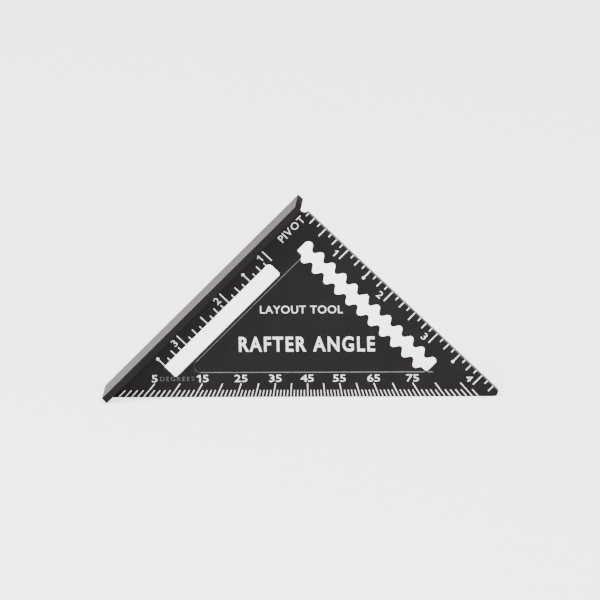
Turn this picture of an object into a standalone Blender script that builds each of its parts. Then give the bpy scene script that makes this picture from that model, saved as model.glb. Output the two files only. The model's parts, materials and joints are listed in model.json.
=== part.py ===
"""Rafter square, 4 1/2 in: an aluminium casting of a triangular blade and a T-shaped fence, with white-filled marks.

Metres, +Z up. The long edge lies level along X, the pivot corner is at the top, and the front face looks
along -Y. The origin is the middle of the underside of the whole square's box, so it stands on z = 0.

Everything is drawn flat in the square's own plane and stood up by one empty, square_axes. In that plane the
zero of the scales is (0, 0), +x runs out along the square edge, -y runs down along the fence, and +z comes
out of the front face.
"""

import math

import bmesh
import bpy
from mathutils import Matrix, Vector

MM = 0.001
INCH = 0.0254

# Overall sizes.
LEG = 4.5 * INCH  # scale zero to the sharp tip along either edge
BLADE_THICKNESS = 2.4 * MM
FENCE_WIDTH = 19.0 * MM  # across both lips of the T
FENCE_THICKNESS = 2.9 * MM
FENCE_EDGE_ROUND = 0.25 * MM
FENCE_TO_ZERO = 1.0 * MM  # fence's inner face to the scale zero
GROOVE_DEPTH = 0.5 * MM  # along the fence's inner face, for the blade's root
JOINT_GAP = 0.3 * MM  # all round the root in its groove
TIP_RADIUS = 1.8 * MM
NOTCH_RADIUS = 1.75 * MM  # relief at the pivot corner
NOTCH_DROP = 0.3 * MM  # its centre below the square edge

# Straight slot beside the inner inch scale.
RULE_SLOT_FROM_ZERO = 6.3 * MM
RULE_SLOT_WIDTH = 6.8 * MM
RULE_SLOT_TOP = 27.0 * MM
RULE_SLOT_TIP_MARGIN = 24.4 * MM  # slot's lower end short of the full leg
RULE_SLOT_TOP_RADIUS = 1.4 * MM
RULE_SLOT_FOOT_RADIUS = 0.5 * MM

# Notched slot that guides a pencil at each quarter inch.
PITCH = INCH / 4
FIRST_NOTCH = 12.75 * MM
LINE_TIP_MARGIN = INCH  # last notch short of the full leg
LINE_SLOT_TOP = 8.3 * MM  # square edge to the crests
LINE_SLOT_WIDTH = 6.7 * MM
NOTCH_DEPTH = 2.78 * MM
BULGE_RADIUS = 1.35 * MM
TOOTH_RADIUS = 1.2 * MM
LINE_END_RUN = 2.0 * MM  # end walls past the outer notches
LINE_END_STEP = 0.5 * MM  # end floors below the teeth
LINE_FOOT_RADIUS = 0.8 * MM

# Shallow centre panel, the same on both faces. It opens into the notched slot.
PANEL_DEPTH = 0.2 * MM
PANEL_MARGIN = 1.2 * MM  # to the straight slot, and to the degree numbers
PANEL_RADIUS = 2.5 * MM

# Enamel in its pockets.
POCKET_DEPTH = 0.3 * MM
ENAMEL_DROP = 0.04 * MM  # enamel's surface below the face
FIT = 0.05 * MM  # around and under the enamel
OVERCUT = 1.0 * MM

# Enamel marks and numerals. Boldness thickens a letter all round.
DEGREE_MARK_HEIGHT = 5.9 * MM  # along the upright from the long edge
DEGREE_MARK_START = 0.25 * MM
DEGREE_MARK_WIDTH = 0.42 * MM
LAST_DEGREE = 85
LAST_NUMBER = 75
DEGREE_NUMBER_GAP = 0.65 * MM  # over the marks
DEGREE_NUMBER_HEIGHT = 3.0 * MM
DEGREE_STRETCH = 1.35
DEGREE_BOLDNESS = 0.02 * MM
DEGREE_FIGURE_GAP = 0.5 * MM
INCH_MARK_WIDTH = 0.5 * MM
DOT_RADIUS = 0.68 * MM
DOT_MARK_LENGTH = 4.2 * MM
LUMBER_MARKS = (1.5 * INCH, 3.5 * INCH)  # a finished two-by-four
INCH_NUMBER_HEIGHT = 2.95 * MM
INCH_NUMBER_STRETCH = 1.2
INCH_NUMBER_BOLDNESS = 0.0
INCH_NUMBER_SHIFT = 2.95 * MM  # from its mark towards the pivot
EDGE_NUMBER_BASE = 6.15 * MM
SLOT_NUMBER_BASE = 3.75 * MM
PIVOT_WORD = "PIVOT"
PIVOT_HEIGHT = 3.1 * MM
PIVOT_BOLDNESS = 0.02 * MM
PIVOT_LETTER_GAP = 0.6 * MM
PIVOT_BASE = 4.35 * MM
PIVOT_END = 3.2 * MM  # last letter's end below the square edge

FONT_CAP = 0.682  # height of a capital in Blender's own font, at size 1
FONT_FIGURE = 0.4  # width of a figure
FONT_MERGE = 0.01  # the font's shorter edges are closed up
DRAWN_FIGURES = {
    "1": [[(0.2, 0), (0.3, 0), (0.3, 0.682), (0.22, 0.682), (0.04, 0.54), (0.04, 0.44), (0.2, 0.55)]],
    "4": [
        [
            (0.01, 0.225),
            (0.3, 0.225),
            (0.3, 0),
            (0.4, 0),
            (0.4, 0.225),
            (0.47, 0.225),
            (0.47, 0.31),
            (0.4, 0.31),
            (0.4, 0.682),
            (0.35, 0.682),
            (0.01, 0.27),
        ],
        [(0.14, 0.31), (0.3, 0.31), (0.3, 0.51)],
    ],
}
ARC_STEP = math.radians(24)

INNER_FACE = -FENCE_TO_ZERO
FENCE_OUTER = INNER_FACE - FENCE_THICKNESS
ROOT = INNER_FACE - GROOVE_DEPTH + JOINT_GAP
FENCE_LENGTH = LEG + FENCE_TO_ZERO  # its end meets the line of the long edge
DEGREE_NUMBER_BASE = DEGREE_MARK_HEIGHT + DEGREE_NUMBER_GAP
DEGREE_FIGURE_PITCH = DEGREE_NUMBER_HEIGHT * DEGREE_STRETCH * FONT_FIGURE / FONT_CAP + DEGREE_FIGURE_GAP
PANEL_BAND = DEGREE_NUMBER_BASE + DEGREE_NUMBER_HEIGHT + PANEL_MARGIN
FACE = BLADE_THICKNESS / 2
SQRT2 = math.sqrt(2)
DEGREE_STYLE = (DEGREE_NUMBER_HEIGHT, DEGREE_STRETCH, DEGREE_BOLDNESS)
INCH_STYLE = (INCH_NUMBER_HEIGHT, INCH_NUMBER_STRETCH, INCH_NUMBER_BOLDNESS)
PIVOT_STYLE = (PIVOT_HEIGHT, 1, PIVOT_BOLDNESS)


def clear_scene():
    for thing in list(bpy.data.objects):
        bpy.data.objects.remove(thing)


def material(name, colour, roughness, metallic):
    made = bpy.data.materials.new(name)
    made.use_nodes = True
    shader = made.node_tree.nodes["Principled BSDF"]
    shader.inputs["Base Color"].default_value = (*colour, 1)
    shader.inputs["Roughness"].default_value = roughness
    shader.inputs["Metallic"].default_value = metallic
    made.diffuse_color = (*colour, 1)
    return made


def arc(centre, radius, start, end):
    """Points of an arc from one angle to another, both in radians."""
    steps = max(2, math.ceil(abs(end - start) / ARC_STEP))
    turns = [start + (end - start) * i / steps for i in range(steps + 1)]
    return [(centre[0] + radius * math.cos(t), centre[1] + radius * math.sin(t)) for t in turns]


def rounded_outline(corners):
    """A convex outline through anticlockwise (x, y, radius) corners."""
    outline = []
    for i, (x, y, radius) in enumerate(corners):
        if radius == 0:
            outline.append((x, y))
            continue
        here = Vector((x, y))
        back = (Vector(corners[i - 1][:2]) - here).normalized()
        ahead = (Vector(corners[(i + 1) % len(corners)][:2]) - here).normalized()
        half = back.angle(ahead) / 2
        centre = here + (back + ahead).normalized() * radius / math.sin(half)
        touch = here + back * radius / math.tan(half) - centre
        start = math.atan2(touch.y, touch.x)
        outline += arc(centre, radius, start, start + math.pi - 2 * half)
    return outline


def prism(name, outline, low, high):
    """A closed mesh object: the outline, raised from low to high."""
    mesh = bpy.data.meshes.new(name)
    shape = bmesh.new()
    floor = shape.faces.new([shape.verts.new((x, y, low)) for x, y in outline])
    raised = bmesh.ops.extrude_face_region(shape, geom=[floor])["geom"]
    corners = [item for item in raised if isinstance(item, bmesh.types.BMVert)]
    bmesh.ops.translate(shape, vec=(0, 0, high - low), verts=corners)
    bmesh.ops.recalc_face_normals(shape, faces=shape.faces)
    shape.to_mesh(mesh)
    shape.free()
    return add(name, mesh)


def add(name, data):
    made = bpy.data.objects.new(name, data)
    bpy.context.scene.collection.objects.link(made)
    made.parent = square_axes
    return made


def hide_cutter(cutter):
    cutter.hide_render = True
    cutter.display_type = "WIRE"
    return cutter


def cut(body, cutter):
    boolean = body.modifiers.new(cutter.name, "BOOLEAN")
    boolean.object = hide_cutter(cutter)
    boolean.operation = "DIFFERENCE"
    boolean.solver = "EXACT"


def stand_up():
    """The empty that turns the square's plane upright, long edge down, over the origin."""
    left = (-FENCE_LENGTH + FENCE_OUTER) / SQRT2
    tip = LEG - TIP_RADIUS * (1 + SQRT2)
    right = (tip - TIP_RADIUS) / SQRT2 + TIP_RADIUS
    axes = bpy.data.objects.new("square_axes", None)
    bpy.context.scene.collection.objects.link(axes)
    axes.location = (-(left + right) / 2, 0, LEG / SQRT2)
    axes.rotation_euler = (math.radians(90), math.radians(45), 0)
    return axes


# ---------------------------------------------------------------- blade and fence


def blade_outline():
    return rounded_outline([(ROOT, 0, 0), (ROOT, ROOT - LEG, 0), (LEG, 0, TIP_RADIUS)])


def rule_slot_outline():
    left = RULE_SLOT_FROM_ZERO
    right = left + RULE_SLOT_WIDTH
    foot = RULE_SLOT_TIP_MARGIN - LEG
    return rounded_outline(
        [
            (left, foot, RULE_SLOT_FOOT_RADIUS),
            (right, foot, RULE_SLOT_FOOT_RADIUS),
            (right, -RULE_SLOT_TOP, RULE_SLOT_TOP_RADIUS),
            (left, -RULE_SLOT_TOP, RULE_SLOT_TOP_RADIUS),
        ]
    )


def flank_angle():
    """Slope of the straight flank that touches both a bulge's arc and a tooth's arc."""
    drop = NOTCH_DEPTH - BULGE_RADIUS - TOOTH_RADIUS
    reach = math.hypot(PITCH / 2, drop)
    return math.atan2(drop, PITCH / 2) + math.asin((BULGE_RADIUS + TOOTH_RADIUS) / reach)


def number_box(degrees):
    """Left, bottom, right and top of a degree number, across and above the middle of the long edge."""
    top = mark_top(degrees)
    half = DEGREE_FIGURE_PITCH
    base = DEGREE_NUMBER_BASE
    return (top - half, base, top + half, base + DEGREE_NUMBER_HEIGHT)


def meets_number(notches):
    """Whether the notched slot's far end would run into the last degree number."""
    left, bottom, right, top = number_box(LAST_NUMBER)
    last = FIRST_NOTCH + (notches - 1) * PITCH
    deepest = LINE_SLOT_TOP + LINE_SLOT_WIDTH + NOTCH_DEPTH
    foot = LINE_SLOT_TOP + LINE_SLOT_WIDTH + LINE_END_STEP
    corners = [(last - PITCH / 2, deepest), (last + LINE_END_RUN - LINE_FOOT_RADIUS, foot)]
    for along, down in corners:
        across = (along - down) / SQRT2
        above = (LEG - along - down) / SQRT2
        if left < across < right and above < top:
            return True
    return False


def notch_count():
    """As many quarter-inch notches as the leg takes, short of the last degree number."""
    count = round((LEG - LINE_TIP_MARGIN - FIRST_NOTCH) // PITCH) + 1
    while meets_number(count):
        count -= 1
    return count


def line_slot_outline():
    notches = [FIRST_NOTCH + i * PITCH for i in range(notch_count())]
    flank = flank_angle()
    top = -LINE_SLOT_TOP
    up, down = math.pi / 2, 3 * math.pi / 2
    start, end = notches[0] - LINE_END_RUN, notches[-1] + LINE_END_RUN

    outline = arc((notches[0], top - LINE_END_RUN), LINE_END_RUN, math.pi, up)
    outline += arc((notches[0], top - BULGE_RADIUS), BULGE_RADIUS, up, up - flank)
    for x in notches[:-1]:
        tooth = (x + PITCH / 2, top - NOTCH_DEPTH + TOOTH_RADIUS)
        outline += arc(tooth, TOOTH_RADIUS, down - flank, down + flank)
        reach = -flank if x != notches[-2] else 0
        outline += arc((x + PITCH, top - BULGE_RADIUS), BULGE_RADIUS, up + flank, up + reach)
    outline += arc((notches[-1], top - LINE_END_RUN), LINE_END_RUN, up, 0)

    tooth_tip = top - LINE_SLOT_WIDTH
    foot = tooth_tip - LINE_END_STEP
    inset = LINE_FOOT_RADIUS
    rise = NOTCH_DEPTH - LINE_END_STEP - BULGE_RADIUS * (1 - math.cos(flank))
    flank_reach = BULGE_RADIUS * math.sin(flank) + rise / math.tan(flank)
    outline += arc((end - inset, foot + inset), inset, 0, -up)
    outline.append((notches[-1] - PITCH / 2 + flank_reach, foot))
    for x in reversed(notches[1:]):
        bulge = (x - PITCH / 2, tooth_tip - NOTCH_DEPTH + BULGE_RADIUS)
        outline += arc(bulge, BULGE_RADIUS, down + flank, down - flank)
        if x != notches[1]:
            outline += arc((x - PITCH, tooth_tip - TOOTH_RADIUS), TOOTH_RADIUS, up - flank, up + flank)
    outline.append((notches[0] + PITCH / 2 - flank_reach, foot))
    outline += arc((start + inset, foot + inset), inset, -up, -math.pi)
    return without_repeats(outline)


def without_repeats(outline):
    """The outline with points that lie on the one before them left out."""
    kept = []
    for i, point in enumerate(outline):
        if math.dist(point, outline[i - 1]) > 0.001 * MM:
            kept.append(point)
    return kept


def panel_outline():
    left = RULE_SLOT_FROM_ZERO + RULE_SLOT_WIDTH + PANEL_MARGIN
    inside_slot = -(LINE_SLOT_TOP + (NOTCH_DEPTH + LINE_SLOT_WIDTH) / 2)
    reach = LEG - PANEL_BAND * SQRT2
    return rounded_outline(
        [
            (left, left - reach, PANEL_RADIUS),
            (reach + inside_slot, inside_slot, 0),
            (left, inside_slot, 0),
        ]
    )


def blade(coat, pockets):
    body = prism("blade", blade_outline(), -FACE, FACE)
    body.data.materials.append(coat)
    through = FACE + OVERCUT
    notch = (INNER_FACE + NOTCH_RADIUS, -NOTCH_DROP)
    notch_outline = arc(notch, NOTCH_RADIUS, 0, 2 * math.pi)[:-1]
    cut(body, prism("pivot_notch_cutter", notch_outline, -through, through))
    cut(body, prism("rule_slot_cutter", rule_slot_outline(), -through, through))
    cut(body, prism("line_slot_cutter", line_slot_outline(), -through, through))
    cut(body, prism("front_panel_cutter", panel_outline(), FACE - PANEL_DEPTH, through))
    cut(body, prism("back_panel_cutter", panel_outline(), -through, PANEL_DEPTH - FACE))
    cut(body, pockets)
    return body


def fence(metal):
    half = FENCE_WIDTH / 2
    outline = [
        (FENCE_OUTER, 0),
        (FENCE_OUTER, -FENCE_LENGTH),
        (INNER_FACE, -FENCE_LENGTH),
        (INNER_FACE, 0),
    ]
    bar = prism("fence", outline, -half, half)
    bar.data.materials.append(metal)
    bevel = bar.modifiers.new("edge_round", "BEVEL")
    bevel.width = FENCE_EDGE_ROUND
    bevel.segments = 2
    bevel.limit_method = "ANGLE"
    groove = [
        (INNER_FACE - GROOVE_DEPTH, OVERCUT),
        (INNER_FACE - GROOVE_DEPTH, -FENCE_LENGTH - OVERCUT),
        (INNER_FACE + OVERCUT, -FENCE_LENGTH - OVERCUT),
        (INNER_FACE + OVERCUT, OVERCUT),
    ]
    beside = FACE + JOINT_GAP
    cut(bar, prism("root_groove_cutter", groove, -beside, beside))
    return bar


# ---------------------------------------------------------------- marks and numerals


def mark_top(degrees):
    """How far right of the long edge's middle a degree mark's upper end stands."""
    angle = math.radians(degrees)
    foot = LEG * (math.sin(angle) - math.cos(angle)) / (math.sin(angle) + math.cos(angle)) / SQRT2
    return foot * (1 - DEGREE_MARK_HEIGHT * SQRT2 / LEG)


def from_long_edge(across, above):
    """A point of the square's plane, given across and above the middle of the long edge."""
    return Vector((LEG / 2 + (across - above) / SQRT2, -LEG / 2 + (across + above) / SQRT2))


def mark_outline(start, end, width, dot):
    """A straight stroke from start to end, with a round dot on its far end if dot isn't zero."""
    along = (end - start).normalized()
    side = Vector((-along.y, along.x)) * width / 2
    if dot == 0:
        return [start + side, start - side, end - side, end + side]
    heading = math.atan2(along.y, along.x)
    cover = math.asin(side.length / dot)
    turns = (heading - math.pi + cover, heading + math.pi - cover)
    return [start + side, start - side, *arc(end, dot, *turns)]


def filled_mark(name, enamel, start, end, width, dot=0, lead=0):
    """The enamel of one stroke, and the cutter for its pocket, which runs on by lead at the start."""
    along = (end - start).normalized()
    enamel_outline = mark_outline(start, end, width, dot)
    fill = prism(name, enamel_outline, FACE - POCKET_DEPTH + FIT, FACE - ENAMEL_DROP)
    fill.data.materials.append(enamel)
    tail = start - along * (FIT + lead)
    head = end if dot else end + along * FIT
    pocket_outline = mark_outline(tail, head, width + 2 * FIT, dot and dot + FIT)
    return prism(name + "_cutter", pocket_outline, FACE - POCKET_DEPTH, FACE + OVERCUT)


def figure_curve(name, outlines):
    """A flat curve of closed straight-sided outlines, centred on x = 0."""
    across = [x for outline in outlines for x, y in outline]
    middle = (min(across) + max(across)) / 2
    curve = bpy.data.curves.new(name, "CURVE")
    curve.dimensions = "2D"
    for outline in outlines:
        spline = curve.splines.new("POLY")
        spline.points.add(len(outline) - 1)
        for point, (x, y) in zip(spline.points, outline):
            point.co = (x - middle, y, 0, 1)
        spline.use_cyclic_u = True
    return curve


def letter_curve(name, letter):
    """The letter or figure at size 1, in Blender's own font except for the plainer figures drawn here."""
    if letter in DRAWN_FIGURES:
        return figure_curve(name, DRAWN_FIGURES[letter])
    text = bpy.data.curves.new(name, "FONT")
    text.body = letter
    text.align_x = "CENTER"
    text.resolution_u = 2
    return text


def letter_shape(name, letter, style, fit, low, high):
    """A raised letter or figure as a mesh object on its own baseline, grown all round by the fit."""
    height, stretch, boldness = style
    size = height / FONT_CAP
    outline = letter_curve(name, letter)
    outline.extrude = 0.5
    outline.offset = (boldness + fit) / size
    outline.fill_mode = "NONE"
    drawn = add(name + "_outline", outline)
    evaluated = drawn.evaluated_get(bpy.context.evaluated_depsgraph_get())
    mesh = bpy.data.meshes.new_from_object(evaluated)
    bpy.data.objects.remove(drawn)
    shape = bmesh.new()
    shape.from_mesh(mesh)
    bmesh.ops.remove_doubles(shape, verts=shape.verts, dist=FONT_MERGE)
    for side in (-1, 1):
        rim = [edge for edge in shape.edges if edge.is_boundary and edge.verts[0].co.z * side > 0]
        bmesh.ops.triangle_fill(shape, use_beauty=True, edges=rim)
    bmesh.ops.scale(shape, vec=(size * stretch, size, high - low), verts=shape.verts)
    bmesh.ops.translate(shape, vec=(0, 0, (high + low) / 2), verts=shape.verts)
    bmesh.ops.recalc_face_normals(shape, faces=shape.faces)
    shape.to_mesh(mesh)
    shape.free()
    return add(name, mesh)


def filled_letter(name, enamel, letter, place, turn, style):
    """The enamel of one letter or figure at a place on the front, and the cutter for its pocket."""
    floor = FACE - POCKET_DEPTH
    fill = letter_shape(name, letter, style, 0, floor + FIT, FACE - ENAMEL_DROP)
    fill.data.materials.clear()
    fill.data.materials.append(enamel)
    pocket = letter_shape(name + "_cutter", letter, style, FIT, floor, FACE + OVERCUT)
    for shape in (fill, pocket):
        shape.location = (*place, 0)
        shape.rotation_euler = (0, 0, math.radians(turn))
    return pocket


def degree_marks(enamel):
    """Every fifth degree's stroke, aimed at the scale zero."""
    for degrees in range(5, LAST_DEGREE + 1, 5):
        foot_share = DEGREE_MARK_START * SQRT2 / LEG
        top_share = DEGREE_MARK_HEIGHT * SQRT2 / LEG
        angle = math.radians(degrees)
        reach = LEG / (math.sin(angle) + math.cos(angle))
        aim = Vector((math.sin(angle), -math.cos(angle)))
        start = aim * reach * (1 - foot_share)
        end = aim * reach * (1 - top_share)
        yield filled_mark(f"degree_mark_{degrees:02d}", enamel, start, end, DEGREE_MARK_WIDTH)


def degree_numbers(enamel):
    """Upright numbers on every other five-degree mark, centred over the mark's upper end."""
    for degrees in range(5, LAST_NUMBER + 1, 10):
        figures = str(degrees)
        for i, figure in enumerate(figures):
            across = mark_top(degrees) + (i - (len(figures) - 1) / 2) * DEGREE_FIGURE_PITCH
            place = from_long_edge(across, DEGREE_NUMBER_BASE)
            name = f"degree_number_{degrees:02d}_figure_{i + 1}"
            yield filled_letter(name, enamel, figure, place, 45, DEGREE_STYLE)


def marks_within(reach):
    return [mark for mark in LUMBER_MARKS if mark < reach]


def edge_scale(enamel):
    """The outer inch scale's numerals and its two dotted marks."""
    for inches in range(1, int((LEG - PITCH) // INCH) + 1):
        place = (inches * INCH - INCH_NUMBER_SHIFT, -EDGE_NUMBER_BASE)
        name = f"edge_numeral_{inches}"
        yield filled_letter(name, enamel, str(inches), place, 0, INCH_STYLE)
    for i, along in enumerate(marks_within(LEG - PITCH)):
        start = Vector((along, -FIT))
        end = Vector((along, -DOT_MARK_LENGTH))
        name = f"edge_lumber_mark_{i + 1}"
        yield filled_mark(name, enamel, start, end, INCH_MARK_WIDTH, DOT_RADIUS, OVERCUT)


def slot_scale(enamel):
    """The inner inch scale's numerals and its two dotted marks, read along the straight slot."""
    foot = LEG - RULE_SLOT_TIP_MARGIN
    for inches in range(1, int(foot // INCH) + 1):
        place = (SLOT_NUMBER_BASE, -(inches * INCH + INCH_NUMBER_SHIFT))
        name = f"slot_numeral_{inches}"
        yield filled_letter(name, enamel, str(inches), place, 90, INCH_STYLE)
    for i, down in enumerate(marks_within(foot)):
        start = Vector((RULE_SLOT_FROM_ZERO - FIT, -down))
        end = Vector((RULE_SLOT_FROM_ZERO - DOT_MARK_LENGTH, -down))
        name = f"slot_lumber_mark_{i + 1}"
        yield filled_mark(name, enamel, start, end, INCH_MARK_WIDTH, DOT_RADIUS, OVERCUT)


def pivot_word(enamel):
    """The word beside the pivot, read up along the fence, spaced from its last letter back."""
    down = PIVOT_END
    for letter in reversed(PIVOT_WORD):
        name = f"pivot_letter_{letter}"
        pocket = filled_letter(name, enamel, letter, (0, 0), 90, PIVOT_STYLE)
        width = bpy.data.objects[name].dimensions.x
        for shape in (bpy.data.objects[name], pocket):
            shape.location = (PIVOT_BASE, -down - width / 2, 0)
        down += width + PIVOT_LETTER_GAP
        yield pocket


def joined(name, shapes):
    """One mesh object of all the shapes, which don't touch each other."""
    bpy.context.view_layer.update()
    into_axes = square_axes.matrix_world.inverted()
    shape = bmesh.new()
    for source in shapes:
        piece = source.data.copy()
        piece.transform(into_axes @ source.matrix_world)
        shape.from_mesh(piece)
        bpy.data.objects.remove(source)
    mesh = bpy.data.meshes.new(name)
    shape.to_mesh(mesh)
    shape.free()
    return add(name, mesh)


clear_scene()
square_axes = stand_up()
BLACK_COAT = material("black_coat", (0.035, 0.031, 0.034), 0.42, 0.0)
FENCE_METAL = material("fence_metal", (0.4, 0.37, 0.37), 0.4, 1.0)
WHITE_ENAMEL = material("white_enamel", (0.86, 0.86, 0.85), 0.45, 0.0)
pocket_shapes = [
    *degree_marks(WHITE_ENAMEL),
    *degree_numbers(WHITE_ENAMEL),
    *edge_scale(WHITE_ENAMEL),
    *slot_scale(WHITE_ENAMEL),
    *pivot_word(WHITE_ENAMEL),
]
blade(BLACK_COAT, joined("pocket_cutters", pocket_shapes))
fence(FENCE_METAL)
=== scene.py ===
"""Looks of a small rafter square: black-coated casting, machined edges, white paint in engraved marks."""

import json
import math

import bmesh
import bpy
import numpy as np
from mathutils import Matrix, Vector


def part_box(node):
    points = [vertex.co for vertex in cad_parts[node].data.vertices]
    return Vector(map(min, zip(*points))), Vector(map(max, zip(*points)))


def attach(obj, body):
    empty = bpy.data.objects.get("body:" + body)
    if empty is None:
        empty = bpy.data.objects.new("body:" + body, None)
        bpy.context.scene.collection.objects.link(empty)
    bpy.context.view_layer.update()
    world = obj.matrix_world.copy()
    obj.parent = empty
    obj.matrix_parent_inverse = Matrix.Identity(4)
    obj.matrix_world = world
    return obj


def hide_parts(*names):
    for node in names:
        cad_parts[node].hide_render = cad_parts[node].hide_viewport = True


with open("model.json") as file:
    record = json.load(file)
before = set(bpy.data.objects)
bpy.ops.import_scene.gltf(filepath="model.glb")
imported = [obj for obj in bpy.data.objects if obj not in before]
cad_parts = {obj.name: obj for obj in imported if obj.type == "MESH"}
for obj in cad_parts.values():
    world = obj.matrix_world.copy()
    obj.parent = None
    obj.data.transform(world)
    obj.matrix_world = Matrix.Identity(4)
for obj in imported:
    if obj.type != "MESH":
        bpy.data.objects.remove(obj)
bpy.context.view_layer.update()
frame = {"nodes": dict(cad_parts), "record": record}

MM = 0.001
MERGE = 0.001 * MM  # points nearer than this are one
STRAIGHT = math.radians(0.5)  # edges that turn by less than this are one
EIGHTH = 0.0254 / 8
SQRT2 = math.sqrt(2)
BODY = "root"

# Engraving and paint, measured from the blade's faces.
POCKET_DEPTH = 0.3 * MM
PAINT_DROP = 0.04 * MM
NEAR_FACE = 0.1 * MM  # the outer side of a paint fill lies within this of the face
OVERCUT = 0.5 * MM
EDGE_CUT = -0.5 * MM  # an engraved tick runs out past the edge
EDGE_PAINT = 0.02 * MM  # and its paint stops just inside it
FAINT_LIFT = 0.1 * MM  # the faint word's pocket is this much shallower
FAINT_DROP = 0.1 * MM  # and its paint this much lower

# Inch ticks: lengths of the eighth, quarter, half and whole inch.
INCH_TICK_WIDTH = 0.5 * MM
EDGE_TICKS = (1.75 * MM, 3.0 * MM, 4.25 * MM, 5.4 * MM)
SLOT_TICKS = (1.7 * MM, 2.85 * MM, 4.25 * MM, 5.5 * MM)
EDGE_EIGHTHS = (1, 34)  # first and last
SLOT_EIGHTHS = (8, 28)
LUMBER_EIGHTHS = (12, 28)  # dotted marks of the frame stand here

# Degree ticks, up from the long edge.
DEGREE_TICK_START = 0.25 * MM
DEGREE_TICK_TOP = 3.05 * MM
FIFTH_TICK_TOP = 5.9 * MM
DEGREE_TICK_WIDTH = 0.42 * MM
LAST_DEGREE = 86

# The scale beside the straight slot starts at the slot's near side.
SLOT_SIDE = 6.3 * MM

# The casting.
EDGE_ROUNDING = 0.15 * MM
EDGE_WALL = 0.2 * MM  # the square edge's wall and rounding reach this far in
FENCE_CORNER = 0.12 * MM
FENCE_END_ROUNDING = 0.1 * MM
FILLET = 0.8 * MM  # between blade and fence
NO_FILLET = 0.03 * MM
FENCE_ROOT = 0.9  # of the blade's half thickness, where the fence's section starts inside the blade
FILLET_START = 1.9 * MM  # below the relief at the pivot
FILLET_HALF = 2.3 * MM
FILLET_WHOLE = 3.0 * MM
PANEL_DROP = 0.2 * MM
PANEL_SLOPE = 0.3 * MM  # how far its sides slope out from floor to face
PANEL_LEFT = 14.3 * MM
PANEL_TOP = 13.04 * MM
PANEL_BAND = 10.75 * MM
PANEL_RADIUS = 2.5 * MM
SCALE_ZERO_FROM_FENCE = 1.0 * MM

# How strongly the painted highlight lightens the coat, from 0 to 1, and the faces that this goes by.
PANEL_HIGHLIGHT = 0.85
EDGE_HIGHLIGHT = 0.55
STEP_AREA = 0.5 * MM * MM
STEP_SLOPE = (0.5, 0.95)  # part of a face's normal that points along y
ROUNDED_SLOPE = (0.1, 0.99)
BROAD_AREA = 30 * MM * MM  # larger faces are shaded flat
CREASE = math.radians(40)

FONT_CAP = 0.682  # height of a capital at size 1


# ---------------------------------------------------------------- the square's own plane


def mount_point(name):
    """Where the record's mount of this name is."""
    found = [mount for mount in frame["record"]["mounts"] if mount["name"] == name][0]
    return Vector(found["pos_m"])


def square_frame():
    """Matrix of the blade's mid-plane: zero of the scales, +x along the square edge, +y up the fence."""
    along = Vector((1, 0, -1)).normalized()
    up_fence = Vector((1, 0, 1)).normalized()
    edge_point = mount_point("square_edge")
    reach = (edge_point - mount_point("fence_inner_front")).dot(along) - SCALE_ZERO_FROM_FENCE
    zero = edge_point - along * reach
    zero.y = 0
    turned = Matrix((along, up_fence, Vector((0, -1, 0)))).transposed().to_4x4()
    return Matrix.Translation(zero) @ turned


SQUARE = square_frame()
LEG = SQUARE.translation.z * SQRT2
blade_low, blade_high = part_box("blade")
fence_low, fence_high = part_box("fence")
FACE = (blade_high.y - blade_low.y) / 2
FENCE_HALF_WIDTH = (fence_high.y - fence_low.y) / 2
INNER_FACE = -SCALE_ZERO_FROM_FENCE
FENCE_OUTER = (SQUARE.inverted() @ mount_point("fence_outer")).x
FENCE_LENGTH = LEG + SCALE_ZERO_FROM_FENCE
SLOT_ROW = SQUARE @ Matrix.Translation((SLOT_SIDE, 0, 0)) @ Matrix.Rotation(math.radians(-90), 4, "Z")


def plane_point(across, above):
    """A point of the square's plane, from the middle of the long edge."""
    return Vector((LEG / 2 + (across - above) / SQRT2, -LEG / 2 + (across + above) / SQRT2, 0))


def mesh_object(name, mesh):
    """A new object in the scene."""
    made = bpy.data.objects.new(name, mesh)
    bpy.context.scene.collection.objects.link(made)
    return made


def evaluated_mesh(source):
    """A plain mesh of the object as its modifiers leave it."""
    graph = bpy.context.evaluated_depsgraph_get()
    return bpy.data.meshes.new_from_object(source.evaluated_get(graph))


def baked(source, name):
    """The object with its modifiers applied, as a plain mesh object. The source is removed."""
    mesh = evaluated_mesh(source)
    mesh.name = name
    bpy.data.objects.remove(source)
    return mesh_object(name, mesh)


# ---------------------------------------------------------------- node helpers


def new_node(tree, kind, values=(), **settings):
    """A node with its settings and unlinked input values."""
    made = tree.nodes.new(kind)
    for key, value in settings.items():
        setattr(made, key, value)
    for key, value in dict(values).items():
        made.inputs[key].default_value = value
    return made


def link(tree, output, socket):
    """Join an output to an input."""
    tree.links.new(output, socket)


def math_node(tree, operation, first, second=0.0):
    """A Math node fed by two sockets or numbers, and its output."""
    made = tree.nodes.new("ShaderNodeMath")
    made.operation = operation
    for i, value in enumerate((first, second)):
        if isinstance(value, bpy.types.NodeSocket):
            link(tree, value, made.inputs[i])
        else:
            made.inputs[i].default_value = value
    return made.outputs[0]


def combine(tree, x=0.0, y=0.0, z=0.0):
    """A vector of three sockets or numbers."""
    made = tree.nodes.new("ShaderNodeCombineXYZ")
    for i, value in enumerate((x, y, z)):
        if isinstance(value, bpy.types.NodeSocket):
            link(tree, value, made.inputs[i])
        else:
            made.inputs[i].default_value = value
    return made.outputs[0]


# ---------------------------------------------------------------- geometry nodes: rows of ticks


def tick_tree(name, inputs):
    """A geometry tree with float, integer and material inputs, and its group input node."""
    tree = bpy.data.node_groups.new(name, "GeometryNodeTree")
    for label, kind in inputs:
        tree.interface.new_socket(label, in_out="INPUT", socket_type=kind)
    tree.interface.new_socket("Geometry", in_out="OUTPUT", socket_type="NodeSocketGeometry")
    return tree, tree.nodes.new("NodeGroupInput").outputs


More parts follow.
